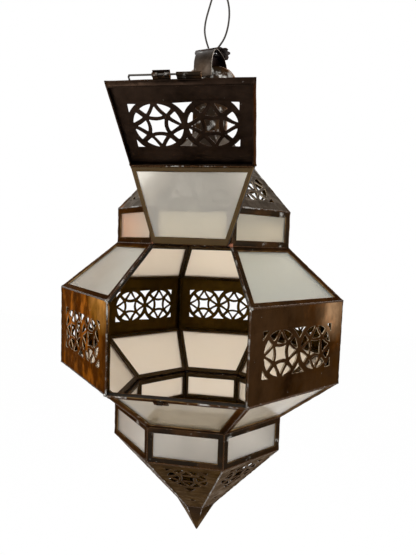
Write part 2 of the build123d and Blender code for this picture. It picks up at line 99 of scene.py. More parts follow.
# ---------------------------------------------------------------- settings
class LanternSizes(bpy.types.PropertyGroup):
    """Sizes of the lantern's body; what the frame shows comes from the frame."""

    drum_side: FloatProperty(
        name="Drum side", description="Side of the wide drum", unit="LENGTH",
        default=BACK_PANEL_HIGH.x - BACK_PANEL_LOW.x)
    narrow_side: FloatProperty(
        name="Glass drum side", description="Side of the two narrow glass drums", unit="LENGTH",
        default=BACK_ROOF_HIGH.x - BACK_ROOF_LOW.x)
    neck_side: FloatProperty(
        name="Neck side", description="Side of the octagonal neck", unit="LENGTH",
        default=side_of(NECK_HIGH.x - NECK_LOW.x))
    tip_side: FloatProperty(
        name="Tip side", description="Side of the cap at the foot", unit="LENGTH",
        default=side_of(TIP_HIGH.x - TIP_LOW.x))
    eave_z: FloatProperty(
        name="Eave", description="Height where the roof meets the upper glass drum",
        unit="LENGTH", default=-260.5 * MM)
    hinge_z: FloatProperty(
        name="Shoulder top", description="Height of the door's hinge line", unit="LENGTH",
        default=-300 * MM)
    lower_top_z: FloatProperty(
        name="Lower drum top", description="Height of the lower glass drum's top",
        unit="LENGTH", default=-494 * MM)
    lower_bottom_z: FloatProperty(
        name="Lower drum bottom", description="Height of the lower glass drum's foot",
        unit="LENGTH", default=-533 * MM)
    came_width: FloatProperty(
        name="Came width", description="Width of a glazing came on the face", unit="LENGTH",
        default=6.3 * MM)
    came_depth: FloatProperty(
        name="Came depth", description="Depth of a glazing came", unit="LENGTH",
        default=5.2 * MM)
    sheet: FloatProperty(
        name="Sheet", description="Thickness of the pierced sheet", unit="LENGTH",
        default=1.2 * MM)
    bead: FloatProperty(
        name="Solder bead", description="Mean radius of a bead of solder", unit="LENGTH",
        default=0.95 * MM)
    loop_wire: FloatProperty(
        name="Loop wire", description="Radius of the hanging loop's wire", unit="LENGTH",
        default=1.1 * MM)
    seed: IntProperty(
        name="Hand", description="Seed of everything that is uneven by hand", default=7)


class LanternColours(bpy.types.PropertyGroup):
    """Colours of the lantern's finishes."""

    bronze: FloatVectorProperty(
        name="Dark bronze", description="Patinated sheet", subtype="COLOR", size=3,
        default=(0.023, 0.0112, 0.0048))
    # painted reflection: this copper tone paints a warm lamp's reflection over the left side and a
    # glint at the right drum panel's corner
    copper: FloatVectorProperty(
        name="Copper", description="Where the patina is rubbed thin", subtype="COLOR", size=3,
        default=(0.34, 0.11, 0.022))
    soot: FloatVectorProperty(
        name="Soot", description="Blackened cames", subtype="COLOR", size=3,
        default=(0.017, 0.012, 0.008))
    solder: FloatVectorProperty(
        name="Solder", description="Bright solder", subtype="COLOR", size=3,
        default=(0.58, 0.56, 0.52))
    # partly painted highlight: the lighter came edges stand for wear and for the highlights along the
    # edges
    came_edge_wear_and_sheen: FloatVectorProperty(
        name="Edge wear and highlight", description="Edges of the cames, rubbed by handling", subtype="COLOR",
        size=3, default=(0.17, 0.105, 0.045))
    inside_sheet: FloatVectorProperty(
        name="Inner sheet", description="Varnished inner faces of sheet and cames",
        subtype="COLOR", size=3, default=(0.038, 0.0200, 0.0030))
    glass_outside: FloatVectorProperty(
        name="Glass outside", description="Smooth outer face of the frosted glass",
        subtype="COLOR", size=3, default=(0.73, 0.76, 0.67))
    # partly painted light: the etched inner face is paler, and its warm cream is painted warm light
    # shining through from behind
    glass_inside: FloatVectorProperty(
        name="Glass inside", description="Etched inner face of the frosted glass",
        subtype="COLOR", size=3, default=(0.99, 0.86, 0.70))
    floor: FloatVectorProperty(
        name="Floor", description="Plain pale floor", subtype="COLOR", size=3,
        default=(0.86, 0.86, 0.86))


def sizes():
    return bpy.context.scene.lantern_sizes


def colours():
    return bpy.context.scene.lantern_colours


# ---------------------------------------------------------------- the lantern's own geometry
def rings():
    """(side, height) of each ring from the roof's top down."""
    s = sizes()
    return [
        (s.neck_side, BACK_ROOF_HIGH.z),
        (s.narrow_side, s.eave_z),
        (s.narrow_side, s.hinge_z),
        (s.drum_side, BACK_PANEL_HIGH.z),
        (s.drum_side, BACK_PANEL_LOW.z),
        (s.narrow_side, s.lower_top_z),
        (s.narrow_side, s.lower_bottom_z),
        (s.tip_side, TIP_HIGH.z),
    ]


def apothem(side):
    return side / (2 * math.tan(TURN / 2))


def slope_length(row):
    (upper, upper_z), (lower, lower_z) = rings()[row], rings()[row + 1]
    return math.hypot(apothem(lower) - apothem(upper), lower_z - upper_z)


def face_matrix(row, index):
    """Places a drawing (x across, y up the slope, z outward) on one face of a row."""
    (upper, upper_z), (lower, lower_z) = rings()[row], rings()[row + 1]
    length = slope_length(row)
    down_r = (apothem(lower) - apothem(upper)) / length
    down_z = (lower_z - upper_z) / length
    drawn = Matrix((
        (1, 0, 0, 0),
        (0, down_r, down_z, -apothem(lower)),
        (0, -down_z, down_r, lower_z),
        (0, 0, 0, 1),
    ))
    return Matrix.Rotation(index * TURN, 4, "Z") @ drawn


def door_matrix():
    """Swings a piece of the shut door to where the door stands at rest."""
    pivot = Vector(HINGE["pos_m"])
    turn = Matrix.Rotation(math.radians(-HINGE["range_deg"][0]), 4, Vector(HINGE["axis"]))
    return Matrix.Translation(pivot) @ turn @ Matrix.Translation(-pivot)


def outline(row, inset, side_gap=0.0):
    """Corners of a row's face, drawn in by inset, and at the sides by side_gap as well."""
    upper, lower = rings()[row][0] / 2, rings()[row + 1][0] / 2
    length = slope_length(row)
    lean = math.atan2(upper - lower, length)
    side_inset = inset / math.cos(lean) + side_gap

    def half_width(y):
        return lower + (upper - lower) * y / length - side_inset

    low, high = inset, length - inset
    return [(-half_width(low), low), (half_width(low), low),
            (half_width(high), high), (-half_width(high), high)]


def ring_bend(ring):
    """Half the angle by which the faces bend inward at a ring; 0 where they bend outward."""
    def lean(row):
        (upper, upper_z), (lower, lower_z) = rings()[row], rings()[row + 1]
        return math.atan2(apothem(lower) - apothem(upper), upper_z - lower_z)

    return max(0.0, (lean(ring - 1) - lean(ring)) / 2) if 0 < ring < TIP + 1 else 0.0


def mitred(obj, row):
    """Slants the outer edges of a flat drawing with depth, so that neighbours meet in a mitre."""
    (upper, upper_z), (lower, lower_z) = rings()[row], rings()[row + 1]
    length, near = slope_length(row), 4.6 * MM
    sideways = (upper_z - lower_z) / length * math.tan(TURN / 2)
    for vertex in obj.data.vertices:
        x, y, z = vertex.co
        depth = max(0.0, -z)
        if abs(x) > (lower + (upper - lower) * y / length) / 2 - near:
            vertex.co.x = x - math.copysign(depth * sideways, x)
        if y < near:
            vertex.co.y = y + depth * math.tan(ring_bend(row + 1))
        elif y > length - near:
            vertex.co.y = y - depth * math.tan(ring_bend(row))
    return obj


def divided(points, spacing):
    """A closed outline with more points along its sides, so that it can be uneven."""
    found = []
    for start, end in zip(points, points[1:] + points[:1]):
        count = max(1, round(math.dist(start, end) / spacing))
        found += [(start[0] + (end[0] - start[0]) * step / count,
                   start[1] + (end[1] - start[1]) * step / count) for step in range(count)]
    return found


# ---------------------------------------------------------------- the pierced pattern
RING_R = 23.8 * MM                  # middle of the ring's strip
STRIP = 1.65 * MM                   # half the width of a strip left between the cuts
DIAGONAL = 2.2 * MM                 # half the width of the strips that part the leaves
ARC_C = 38.8 * MM                   # centre of a compass arc, along x and along y
ARC_R = math.hypot(ARC_C - RING_R, ARC_C)
BOW_C = 27.0 * MM                   # centre of the bowed square's side
BOW_R = 19.35 * MM
BOW_STRIP = 1.8 * MM
SPANDREL_R = 27.5 * MM              # the cuts outside a ring keep this far from its centre
FIELD_HALF = 22.4 * MM
UNIT_PITCH = 49.2 * MM


def arc(centre, radius, start, end, steps):
    """Points along an arc, its angles in radians."""
    return [(centre[0] + radius * math.cos(start + (end - start) * i / steps),
             centre[1] + radius * math.sin(start + (end - start) * i / steps))
            for i in range(steps + 1)]


def crossing(centre_a, radius_a, centre_b, radius_b, side):
    """Where two circles cross, on one side of the line between their centres."""
    a, b = Vector(centre_a), Vector(centre_b)
    gap = (b - a).length
    along = (radius_a ** 2 - radius_b ** 2 + gap ** 2) / (2 * gap)
    off = math.sqrt(radius_a ** 2 - along ** 2)
    unit = (b - a) / gap
    return a + unit * along + Vector((-unit.y, unit.x)) * off * side


def angle_at(centre, point):
    return math.atan2(point[1] - centre[1], point[0] - centre[0]) % math.tau


def leaf():
    """The cut between the ring and a compass arc, just above the diagonal."""
    corner = (ARC_C, ARC_C)
    inner_ring, inner_arc = RING_R - STRIP, ARC_R - STRIP
    tip = crossing((0, 0), inner_ring, corner, inner_arc, 1)
    at_diagonal = math.pi / 4 + math.asin(DIAGONAL / inner_ring)
    arc_diagonal = 1.25 * math.pi - math.asin(DIAGONAL / inner_arc)
    outer = arc((0, 0), inner_ring, angle_at((0, 0), tip), at_diagonal, 6)
    inner = arc(corner, inner_arc, arc_diagonal, angle_at(corner, tip), 5)
    return outer + inner[:-1]


def petal():
    """The cut between two compass arcs and the bowed square, at the top."""
    right, bow = (ARC_C, ARC_C), (0, BOW_C)
    side_r, base_r = ARC_R + STRIP, BOW_R - BOW_STRIP
    foot = crossing(bow, base_r, right, side_r, 1)
    if foot.y > BOW_C:
        foot = crossing(bow, base_r, right, side_r, -1)
    apex = (0.0, ARC_C - math.sqrt(side_r ** 2 - ARC_C ** 2))
    down = arc(right, side_r, angle_at(right, apex), angle_at(right, foot), 5)
    base = arc(bow, base_r, angle_at(bow, foot), angle_at(bow, (-foot.x, foot.y)), 5)
    up = [(-x, y) for x, y in reversed(down)]
    return down + base[1:-1] + up[:-1]


def bowed_square():
    """The cut in the middle of the unit: a square with its sides bowed in."""
    radius = BOW_R + BOW_STRIP
    side = (BOW_C - math.sqrt(2 * radius ** 2 - BOW_C ** 2)) / 2
    points = []
    for quarter in range(4):
        turn = quarter * math.pi / 2
        start = 1.5 * math.pi - math.asin(side / radius)
        for x, y in arc((0, BOW_C), radius, start, 3 * math.pi - start, 4)[:-1]:
            points.append(turned((x, y), -turn))
    return points


def turned(point, angle):
    x, y = point
    return (x * math.cos(angle) - y * math.sin(angle), x * math.sin(angle) + y * math.cos(angle))


def mirrored(points):
    return [(-x, y) for x, y in reversed(points)]


def moved(points, x, y):
    return [(px + x, py + y) for px, py in points]


def softened(points, reach=0.9 * MM):
    """A closed outline with its sharp corners rounded, as a chisel leaves them."""
    found = []
    for before, here, after in zip(points[-1:] + points[:-1], points, points[1:] + points[:1]):
        corner = Vector(here)
        back, on = Vector(before) - corner, Vector(after) - corner
        if back.angle(on) > math.radians(145):
            found.append(tuple(here))
            continue
        start = corner + back.normalized() * min(reach, 0.4 * back.length)
        end = corner + on.normalized() * min(reach, 0.4 * on.length)
        found += [tuple(start), tuple((start + end + 2 * corner) / 4), tuple(end)]
    return found


def by_hand(points, rng):
    """A cut as it was chiselled: a little shifted, turned, wider or narrower."""
    centre = sum((Vector(point) for point in points), Vector((0, 0))) / len(points)
    shift = Vector((rng.uniform(-1, 1), rng.uniform(-1, 1))) * 0.4 * MM
    scale = (1 + rng.uniform(-0.07, 0.05), 1 + rng.uniform(-0.07, 0.05))
    angle = rng.uniform(-0.07, 0.07)
    placed = []
    for point in softened(points):
        x, y = turned(Vector(point) - centre, angle)
        placed.append((centre.x + shift.x + x * scale[0], centre.y + shift.y + y * scale[1]))
    return placed


def unit_cuts():
    """The thirteen cuts of one unit, round its centre."""
    cuts = [bowed_square()]
    for quarter in range(4):
        for points in (petal(), leaf(), mirrored(leaf())):
            cuts.append([turned(p, quarter * math.pi / 2) for p in points])
    return cuts


def spandrel(corner_x, corner_y, lean=0.0):
    """The three-sided cut in the corner of a field, with its long side along the ring."""
    top = corner_y
    meet_top = math.sqrt(SPANDREL_R ** 2 - top ** 2)
    meet_side = math.sqrt(SPANDREL_R ** 2 - (corner_x - lean) ** 2)
    return [(corner_x, top)] + arc((0, 0), SPANDREL_R, math.atan2(top, meet_top),
                                   math.atan2(meet_side, corner_x - lean), 5)


def drum_cuts():
    """Two units side by side, with the cuts between and beside them."""
    cuts = []
    for side in (-1, 1):
        cuts += [moved(points, side * UNIT_PITCH / 2, 0) for points in unit_cuts()]
    outer = moved(spandrel(23.6 * MM, FIELD_HALF), UNIT_PITCH / 2, 0)
    low = math.sqrt(SPANDREL_R ** 2 - (UNIT_PITCH / 2) ** 2)
    meet = math.sqrt(SPANDREL_R ** 2 - FIELD_HALF ** 2)
    centre = (UNIT_PITCH / 2, 0)
    flank = arc(centre, SPANDREL_R, angle_at(centre, (UNIT_PITCH / 2 - meet, FIELD_HALF)),
                angle_at(centre, (0, low)), 4)
    middle = flank + mirrored(flank)[1:]
    for points in (outer, mirrored(outer), middle):
        cuts += [points, [(-x, -y) for x, y in points]]
    return cuts


def gable_cuts(tall):
    """One unit with two corner cuts under it and the cuts that fill the gable above it."""
    lean = 2.0 * MM
    corner = [(x, -y) for x, y in reversed(spandrel(24.0 * MM, FIELD_HALF, lean))]
    cuts = unit_cuts() + [corner, mirrored(corner)]
    base = 26.5 * MM
    if tall:
        cuts += [[(-9.5 * MM, base), (9.5 * MM, base), (0, base + 8 * MM)],
                 [(-5.5 * MM, base + 10.5 * MM), (5.5 * MM, base + 10.5 * MM), (0, base + 21 * MM)]]
    else:
        cuts += [[(-7 * MM, base), (7 * MM, base), (0, base + 10 * MM)],
                 arc((0, 63.5 * MM), 2.6 * MM, 0, math.tau, 9)[:-1]]
    return cuts


# ---------------------------------------------------------------- modelling helpers
def only(obj):
    """Selects one object and nothing else."""
    bpy.ops.object.select_all(action="DESELECT")
    obj.hide_viewport = False
    obj.select_set(True)
    bpy.context.view_layer.objects.active = obj
    return obj


def as_mesh(obj):
    only(obj)
    bpy.ops.object.convert(target="MESH")
    return bpy.context.view_layer.objects.active


def tidied(obj, gap=0.00002):
    """Merges doubled points and turns the faces outward."""
    only(obj)
    bpy.ops.object.mode_set(mode="EDIT")
    bpy.ops.mesh.select_all(action="SELECT")
    bpy.ops.mesh.remove_doubles(threshold=gap)
    bpy.ops.mesh.normals_make_consistent(inside=False)
    bpy.ops.object.mode_set(mode="OBJECT")
    return obj


def cut_sheet(name, outlines, thickness, edge, rounding=1):
    """A flat sheet, its edge the first outline and its holes the rest, in the XY plane."""
    bpy.ops.curve.primitive_bezier_circle_add()
    obj = bpy.context.object
    obj.name = name
    curve = obj.data
    curve.splines.clear()
    curve.dimensions = "2D"
    curve.fill_mode = "BOTH"
    curve.extrude = thickness / 2 - edge
    curve.bevel_depth = edge
    curve.bevel_resolution = rounding
    curve.offset = -edge
    for points in outlines:
        spline = curve.splines.new("POLY")
        spline.points.add(len(points) - 1)
        for point, (x, y) in zip(spline.points, points):
            point.co = (x, y, 0, 1)
        spline.use_cyclic_u = True
    return tidied(as_mesh(obj))


def copied(obj, name, matrix):
    """A copy with its own mesh, moved by matrix."""
    copy = bpy.data.objects.new(name, obj.data.copy())
    bpy.context.scene.collection.objects.link(copy)
    copy.data.transform(matrix)
    return copy


def joined(objects, name):
    """Several meshes made one."""
    bpy.ops.object.select_all(action="DESELECT")
    for obj in objects:
        obj.select_set(True)
    bpy.context.view_layer.objects.active = objects[0]
    if len(objects) > 1:
        bpy.ops.object.join()
    objects[0].name = name
    return objects[0]


def uneven(obj, amount, grain):
    """Shifts points by smooth noise, so that no two copies are alike."""
    noise.seed_set(sizes().seed)           # left alone, it is seeded from the clock
    for vertex in obj.data.vertices:
        vertex.co += noise.noise_vector(vertex.co / grain) * amount
    return obj


def finished(obj, material, body, replaced=()):
    """Gives a piece its material, its body and the CAD nodes that it stands for."""
    if material is not None:
        obj.data.materials.clear()
        obj.data.materials.append(material)
    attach(obj, body)
    if replaced:
        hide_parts(*replaced)
    return obj


def banded(blank, bands):
    """Gives a flat drawing's faces a material each, by how far they face outward (z)."""
    blank.data.materials.clear()
    for _, material in bands:
        blank.data.materials.append(material)
    for polygon in blank.data.polygons:
        polygon.material_index = next(
            index for index, (lowest, _) in enumerate(bands) if polygon.normal.z >= lowest)
    return blank


def smoothed(obj, degrees):
    only(obj)
    bpy.ops.object.shade_smooth_by_angle(angle=math.radians(degrees))
    return obj


# ---------------------------------------------------------------- shader node groups
def group(name, inputs, outputs):
    """An empty shader node group with its sockets, and its two end nodes."""
    tree = bpy.data.node_groups.new(name, "ShaderNodeTree")
    for socket, kind, default in inputs:
        made = tree.interface.new_socket(socket, in_out="INPUT", socket_type=kind)
        made.default_value = default
    for socket, kind in outputs:
        tree.interface.new_socket(socket, in_out="OUTPUT", socket_type=kind)
    start = tree.nodes.new("NodeGroupInput")
    end = tree.nodes.new("NodeGroupOutput")
    return tree, start, end


def linked(tree, node_type, **links):
    """A new node, its inputs set or linked by name; names starting with _ are properties."""
    node = tree.nodes.new(node_type)
    for key, value in links.items():
        if key.startswith("_"):
            setattr(node, key[1:], value)
    for key, value in links.items():
        if key.startswith("_"):
            continue
        socket = node.inputs[int(key[1:])] if key[0] == "i" and key[1:].isdigit() else \
            node.inputs[key.replace("_", " ")]
        if isinstance(value, bpy.types.NodeSocket):
            tree.links.new(value, socket)
        else:
            socket.default_value = value
    return node


def patch_group():
    """Blotches: a mask from noise at one scale, cut at a level and softened."""
    if "Patches" in bpy.data.node_groups:
        return bpy.data.node_groups["Patches"]
    tree, start, end = group(
        "Patches",
        [("Scale", "NodeSocketFloat", 40.0), ("Level", "NodeSocketFloat", 0.55),
         ("Softness", "NodeSocketFloat", 0.1), ("Stretch", "NodeSocketVector", (1, 1, 1))],
        [("Mask", "NodeSocketFloat")])
    place = linked(tree, "ShaderNodeTexCoord")
    stretched = linked(tree, "ShaderNodeVectorMath", _operation="MULTIPLY",
                       i0=place.outputs["Object"], i1=start.outputs["Stretch"])
    cloud = linked(tree, "ShaderNodeTexNoise", Vector=stretched.outputs[0],
                   Scale=start.outputs["Scale"], Detail=5.0, Roughness=0.6)
    low = linked(tree, "ShaderNodeMath", _operation="SUBTRACT",
                 i0=start.outputs["Level"], i1=start.outputs["Softness"])
    high = linked(tree, "ShaderNodeMath", _operation="ADD",
                  i0=start.outputs["Level"], i1=start.outputs["Softness"])
    step = linked(tree, "ShaderNodeMapRange", _interpolation_type="SMOOTHSTEP",
                  Value=cloud.outputs["Fac"])
    tree.links.new(low.outputs[0], step.inputs["From Min"])
    tree.links.new(high.outputs[0], step.inputs["From Max"])
    tree.links.new(step.outputs["Result"], end.inputs["Mask"])
    return tree


def beaten_group():
    """Height of hand-beaten sheet: broad dents, fine hammering and scratches."""
    if "Beaten" in bpy.data.node_groups:
        return bpy.data.node_groups["Beaten"]
    tree, start, end = group(
        "Beaten",
        [("Dents", "NodeSocketFloat", 1.0), ("Grain", "NodeSocketFloat", 0.3)],
        [("Height", "NodeSocketFloat")])
    place = linked(tree, "ShaderNodeTexCoord")
    broad = linked(tree, "ShaderNodeTexNoise", Vector=place.outputs["Object"],
                   Scale=55.0, Detail=2.0, Roughness=0.5)
    fine = linked(tree, "ShaderNodeTexNoise", Vector=place.outputs["Object"],
                  Scale=420.0, Detail=3.0, Roughness=0.6)
    dents = linked(tree, "ShaderNodeMath", _operation="MULTIPLY",
                   i0=broad.outputs["Fac"], i1=start.outputs["Dents"])
    grain = linked(tree, "ShaderNodeMath", _operation="MULTIPLY",
                   i0=fine.outputs["Fac"], i1=start.outputs["Grain"])
    total = linked(tree, "ShaderNodeMath", _operation="ADD",
                   i0=dents.outputs[0], i1=grain.outputs[0])
    tree.links.new(total.outputs[0], end.inputs["Height"])
    return tree


def painted_sheen_group():
    """Mask of a painted warm reflection: mostly on the left, in streaks down the sheet, and a painted
    glint round one spot.
    """
    if "Painted warm sheen" in bpy.data.node_groups:
        return bpy.data.node_groups["Painted warm sheen"]
    tree, start, end = group(
        "Painted warm sheen",
        [("Left", "NodeSocketFloat", -0.15), ("Spread", "NodeSocketFloat", 0.10),
         # Spot is the middle of a painted glint, by default at the right drum panel's upper corner
         ("Spot", "NodeSocketVector", (0.150, -0.070, -0.352)),
         ("Spot size", "NodeSocketFloat", 0.055)],
        [("Mask", "NodeSocketFloat")])
    place = linked(tree, "ShaderNodeTexCoord")
    parts = linked(tree, "ShaderNodeSeparateXYZ", Vector=place.outputs["Object"])
    shift = linked(tree, "ShaderNodeMath", _operation="SUBTRACT",
                   i0=start.outputs["Left"], i1=parts.outputs["X"])
    share = linked(tree, "ShaderNodeMath", _operation="DIVIDE",
                   i0=shift.outputs[0], i1=start.outputs["Spread"])
    patches = linked(tree, "ShaderNodeGroup", _node_tree=patch_group(),
                     Scale=38.0, Level=0.52, Softness=0.16, Stretch=(1.0, 1.0, 0.45))
    away = linked(tree, "ShaderNodeVectorMath", _operation="DISTANCE",
                  i0=place.outputs["Object"], i1=start.outputs["Spot"])
    near = linked(tree, "ShaderNodeMath", _operation="DIVIDE",
                  i0=away.outputs["Value"], i1=start.outputs["Spot size"])
    spot = linked(tree, "ShaderNodeMath", _operation="SUBTRACT", i0=1.0, i1=near.outputs[0])
    side = linked(tree, "ShaderNodeMath", _operation="MAXIMUM",
                  i0=share.outputs[0], i1=spot.outputs[0])
    side.use_clamp = True
    lifted = linked(tree, "ShaderNodeMath", _operation="MULTIPLY",
                    i0=ranged(tree, patches.outputs["Mask"], 0.35, 1.3), i1=side.outputs[0])
    lifted.use_clamp = True
    tree.links.new(lifted.outputs[0], end.inputs["Mask"])
    return tree


def inner_group():
    """1 on the faces that look towards the lantern's axis, 0 on the others."""
    if "Inner face" in bpy.data.node_groups:
        return bpy.data.node_groups["Inner face"]
    tree, start, end = group("Inner face", [], [("Mask", "NodeSocketFloat")])
    place = linked(tree, "ShaderNodeTexCoord")
    radial = linked(tree, "ShaderNodeVectorMath", _operation="MULTIPLY",
                    i0=place.outputs["Object"], i1=(1.0, 1.0, 0.0))
    facing = linked(tree, "ShaderNodeVectorMath", _operation="DOT_PRODUCT",
                    i0=radial.outputs[0], i1=place.outputs["Normal"])
    inner = linked(tree, "ShaderNodeMath", _operation="LESS_THAN",
                   i0=facing.outputs["Value"], i1=0.0)
    tree.links.new(inner.outputs[0], end.inputs["Mask"])
    return tree


def inner_face(tree):
    return linked(tree, "ShaderNodeGroup", _node_tree=inner_group()).outputs["Mask"]


def blended(tree, factor, first, second):
    """A colour mixed from two by a factor."""
    node = tree.nodes.new("ShaderNodeMix")
    node.data_type = "RGBA"
    for socket, value in ((node.inputs["Factor"], factor), (node.inputs[6], first),
                          (node.inputs[7], second)):
        if isinstance(value, bpy.types.NodeSocket):
            tree.links.new(value, socket)
        elif isinstance(value, float):
            socket.default_value = value
        else:
            socket.default_value = (*value, 1.0)
    return node.outputs[2]


def new_material(name):
    """A new material, its tree and its shader."""
    material = bpy.data.materials.new(name)
    material.use_nodes = True
    tree = material.node_tree
    return material, tree, tree.nodes["Principled BSDF"]


def bumped(tree, shader, height, strength, distance):
    bump = linked(tree, "ShaderNodeBump", Height=height, Strength=strength, Distance=distance)
    tree.links.new(bump.outputs["Normal"], shader.inputs["Normal"])


def ranged(tree, mask, low, high):
    """A number that runs from low to high as the mask runs from 0 to 1."""
    node = linked(tree, "ShaderNodeMapRange", Value=mask)
    node.inputs["To Min"].default_value = low
    node.inputs["To Max"].default_value = high
    return node.outputs["Result"]


def patches(tree, scale, level, softness, stretch=(1.0, 1.0, 1.0)):
    node = linked(tree, "ShaderNodeGroup", _node_tree=patch_group(), Scale=scale, Level=level,
                  Softness=softness, Stretch=stretch)
    return node.outputs["Mask"]


# ---------------------------------------------------------------- finishes
EDGE_TINT = (0.62, 0.46, 0.36, 1.0)          # patina stays brown where it is seen edge-on


def sheet_finish(name="Drum sheet", bronze=None, edge_tint=EDGE_TINT, left=-0.062,
                 both_sides=False):
    """Dark bronze patina over tin, with a warm lamp's reflection painted in copper on the left,
    painted highlights at two spots, and dull smears.
    """
    if name in bpy.data.materials:
        return bpy.data.materials[name]
    material, tree, shader = new_material(name)
    c = colours()
    bronze = bronze or tuple(c.bronze)
    # painted reflection: the copper mask lays a warm lamp's reflection over the left side; rubbed is
    # the bronze with that painted reflection laid on
    copper = linked(tree, "ShaderNodeGroup", _node_tree=painted_sheen_group(), Left=left, Spread=0.04)
    cloud = patches(tree, 26.0, 0.5, 0.22, (1.0, 1.0, 0.5))
    mottled = blended(tree, patches(tree, 75.0, 0.54, 0.14), bronze,
                      tuple(0.45 * v for v in bronze))
    brown = blended(tree, cloud, mottled, tuple(2.0 * v for v in bronze))
    painted_sheen_streaks = blended(tree, patches(tree, 70.0, 0.56, 0.10, (1.0, 1.0, 0.6)),
                       tuple(0.20 * v for v in c.copper), tuple(1.1 * v for v in c.copper))
    rubbed = blended(tree, copper.outputs["Mask"], brown, painted_sheen_streaks)
    speck = patches(tree, 240.0, 0.74, 0.03)
    # painted highlight: a gold glint at the left drum panel's upper right corner
    painted_highlight_spot = linked(tree, "ShaderNodeGroup", _node_tree=painted_sheen_group(), Left=-1.0, Spread=0.05,
                         Spot=(-0.076, -0.146, -0.354))
    painted_highlight_spot.inputs["Spot size"].default_value = 0.034
    with_painted_highlights = blended(tree, painted_highlight_spot.outputs["Mask"], rubbed, (0.75, 0.36, 0.10))
    # painted highlight: a pale glint at the right drum panel's upper corner
    painted_glint_spot = linked(tree, "ShaderNodeGroup", _node_tree=painted_sheen_group(), Left=-1.0, Spread=0.05,
                       Spot=(0.152, -0.070, -0.358))
    painted_glint_spot.inputs["Spot size"].default_value = 0.038
    with_painted_highlights = blended(tree, painted_glint_spot.outputs["Mask"], with_painted_highlights, (0.50, 0.31, 0.17))
    outside = blended(tree, speck, with_painted_highlights, tuple(0.6 * v for v in c.solder))
    inside = blended(tree, cloud, tuple(c.inside_sheet), tuple(1.8 * v for v in c.inside_sheet))
    tree.links.new(outside if both_sides else blended(tree, inner_face(tree), outside, inside),
                   shader.inputs["Base Color"])
    tree.links.new(ranged(tree, patches(tree, 70.0, 0.5, 0.2), 0.30, 0.52),
                   shader.inputs["Roughness"])
    shader.inputs["Metallic"].default_value = 1.0
    shader.inputs["Specular Tint"].default_value = edge_tint
    beaten = linked(tree, "ShaderNodeGroup", _node_tree=beaten_group(), Dents=1.0, Grain=0.12)
    bumped(tree, shader, beaten.outputs["Height"], 0.55, 0.0025)
    return material


def tip_sheet():
    return sheet_finish("Tip sheet", (0.0125, 0.0075, 0.0048), (0.70, 0.58, 0.48, 1.0))


def cut_edge_and_highlight_finish(name="Cut tin edge", level=0.50):
    """The cut edges of the piercing: raw tin, its pale patches partly a painted highlight along the
    rims, with brown left in the corners.
    """
    if name in bpy.data.materials:
        return bpy.data.materials[name]
    material, tree, shader = new_material(name)
    c = colours()
    tree.links.new(blended(tree, patches(tree, 130.0, level, 0.12), tuple(2 * v for v in c.bronze),
                           (0.42, 0.33, 0.22)), shader.inputs["Base Color"])
    tree.links.new(ranged(tree, patches(tree, 300.0, 0.5, 0.2), 0.22, 0.42),
                   shader.inputs["Roughness"])
    shader.inputs["Metallic"].default_value = 1.0
    return material


def came_finish(name="Blackened came", bright=0.68):
    """Tinned came gone black, with solder wiped along it."""
    if name in bpy.data.materials:
        return bpy.data.materials[name]
    material, tree, shader = new_material(name)
    c = colours()
    smear = patches(tree, 95.0, bright, 0.07)
    warm = patches(tree, 34.0, 0.56, 0.12)
    dark = blended(tree, warm, tuple(c.soot), tuple(2.0 * v for v in c.bronze))
    tree.links.new(blended(tree, smear, dark, tuple(0.62 * v for v in c.solder)),
                   shader.inputs["Base Color"])
    tree.links.new(ranged(tree, smear, 0.44, 0.28), shader.inputs["Roughness"])
    shader.inputs["Metallic"].default_value = 1.0
    shader.inputs["Specular Tint"].default_value = EDGE_TINT
    beaten = linked(tree, "ShaderNodeGroup", _node_tree=beaten_group(), Dents=0.8, Grain=0.35)
    bumped(tree, shader, beaten.outputs["Height"], 0.6, 0.0012)
    return material


def edge_wear_and_highlight_finish(name="Worn came edge", strength=1.0):
    """The came's edge, worn through the black to brown and gold, and lighter as a painted highlight
    along the edge.
    """
    if name in bpy.data.materials:
        return bpy.data.materials[name]
    material, tree, shader = new_material(name)
    c = colours()
    light = tuple(strength * v for v in c.came_edge_wear_and_sheen)
    tree.links.new(blended(tree, patches(tree, 85.0, 0.50, 0.14), tuple(2.4 * v for v in c.bronze),
                           light), shader.inputs["Base Color"])
    tree.links.new(ranged(tree, patches(tree, 210.0, 0.5, 0.2), 0.28, 0.45),
                   shader.inputs["Roughness"])
    shader.inputs["Metallic"].default_value = 1.0
    shader.inputs["Specular Tint"].default_value = EDGE_TINT
    return material


def inside_finish():
    """The came's inner face, olive brown under varnish."""
    olive = tuple(1.5 * v for v in colours().inside_sheet)
    return plain_finish("Came inside", olive, 0.6, 0.42, 60.0, 0.0006)


def solder_finish(name="Dark seam", level=0.66):
    """Solder: bright where it ran last, black and brown between."""
    if name in bpy.data.materials:
        return bpy.data.materials[name]
    material, tree, shader = new_material(name)
    c = colours()
    worn = patches(tree, 90.0, level, 0.08)
    tree.links.new(blended(tree, worn, tuple(2.4 * v for v in c.bronze),
                           tuple(0.6 * v for v in c.solder)), shader.inputs["Base Color"])
    tree.links.new(ranged(tree, patches(tree, 240.0, 0.5, 0.2), 0.2, 0.4),
                   shader.inputs["Roughness"])
    shader.inputs["Metallic"].default_value = 1.0
    beaten = linked(tree, "ShaderNodeGroup", _node_tree=beaten_group(), Dents=0.6, Grain=0.8)
    bumped(tree, shader, beaten.outputs["Height"], 0.7, 0.0010)
    return material


